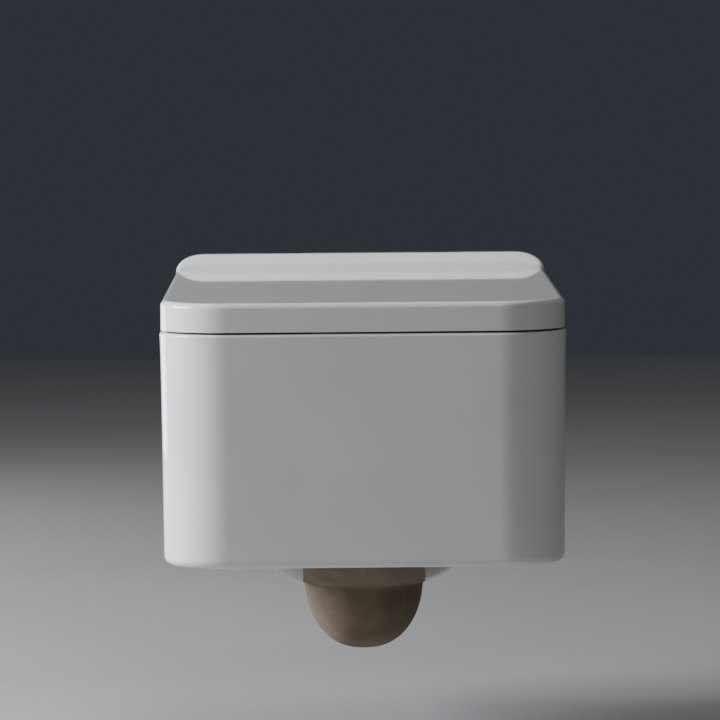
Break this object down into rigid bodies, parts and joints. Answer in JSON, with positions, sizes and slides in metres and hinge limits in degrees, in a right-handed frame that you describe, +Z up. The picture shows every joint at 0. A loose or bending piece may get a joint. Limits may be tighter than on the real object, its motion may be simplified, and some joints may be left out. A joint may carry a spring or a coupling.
{
  "type": "wall hung toilet",
  "caption": "Wall hung toilet with a box-shaped glazed pan, rimless bowl, trap with rear outlet, seat ring and wrap-over lid with a rear ridge on soft close, quick release hinges.",
  "frame": {"origin": "middle of the two wall bolts, in the plane of the wall", "axes": "+Y into the wall along the bolts, +Z up, +X to the right as seen by someone who faces the pan; the pan stands out towards -Y"},
  "size_m": [0.37, 0.54, 0.3633],
  "materials": {
    "ceramic": "glossy glaze, bare fired clay under the trap",
    "seat_plastic": "glossy moulded urea plastic",
    "white_plastic": "moulded satin",
    "dark_plastic": "moulded satin",
    "grey_rubber": "soft matt",
    "black_rubber": "matt",
    "zinc_steel": "zinc plated",
    "brushed_steel": "turned and brushed",
    "chrome": "polished plating",
    "brass": "turned"
  },
  "bodies": {
    "pan": {"pan": "ceramic", "flush_diffuser": "white_plastic", "inlet_seal": "black_rubber", "fixing_bush_left": "white_plastic", "fixing_bush_right": "white_plastic", "fixing_washer_left": "zinc_steel", "fixing_washer_right": "zinc_steel", "fixing_nut_left": "zinc_steel", "fixing_nut_right": "zinc_steel", "base_washer_left": "black_rubber", "base_washer_right": "black_rubber", "base_disc_left": "brushed_steel", "base_disc_right": "brushed_steel", "fixing_pin_left": "brushed_steel", "fixing_pin_right": "brushed_steel", "expansion_sleeve_left": "black_rubber", "expansion_sleeve_right": "black_rubber", "sleeve_nut_left": "brass", "sleeve_nut_right": "brass", "hinge_block_left": "chrome", "hinge_block_right": "chrome", "release_spring_left": "brushed_steel", "release_spring_right": "brushed_steel", "seat_damper": "dark_plastic", "lid_damper": "dark_plastic"},
    "seat": {"seat_ring": "seat_plastic", "seat_buffer_front_left": "grey_rubber", "seat_buffer_front_right": "grey_rubber", "seat_buffer_rear_left": "grey_rubber", "seat_buffer_rear_right": "grey_rubber", "pivot_pin_left": "brushed_steel", "seat_bush_right": "white_plastic"},
    "lid": {"lid": "seat_plastic", "lid_buffer_left": "grey_rubber", "lid_buffer_right": "grey_rubber", "pivot_pin_right": "brushed_steel", "lid_bush_left": "white_plastic"},
    "release_left": {"release_slide_left": "brushed_steel"},
    "release_right": {"release_slide_right": "brushed_steel"}
  },
  "joints": [
    {"name": "seat_lift", "type": "hinge", "parent": "pan", "child": "seat", "pos_m": [0, -0.038, 0.106], "axis": [-1, 0, 0], "range_deg": [0, 93]},
    {"name": "lid_lift", "type": "hinge", "parent": "seat", "child": "lid", "pos_m": [0, -0.038, 0.106], "axis": [-1, 0, 0], "range_deg": [0, 93]},
    {"name": "release_left_push", "type": "slide", "parent": "pan", "child": "release_left", "axis": [0, 1, 0], "range_m": [0, 0.003], "stiffness_N_per_m": 900, "springref_m": -0.001, "deforming": ["release_spring_left"]},
    {"name": "release_right_push", "type": "slide", "parent": "pan", "child": "release_right", "axis": [0, 1, 0], "range_m": [0, 0.003], "stiffness_N_per_m": 900, "springref_m": -0.001, "deforming": ["release_spring_right"]}
  ]
}
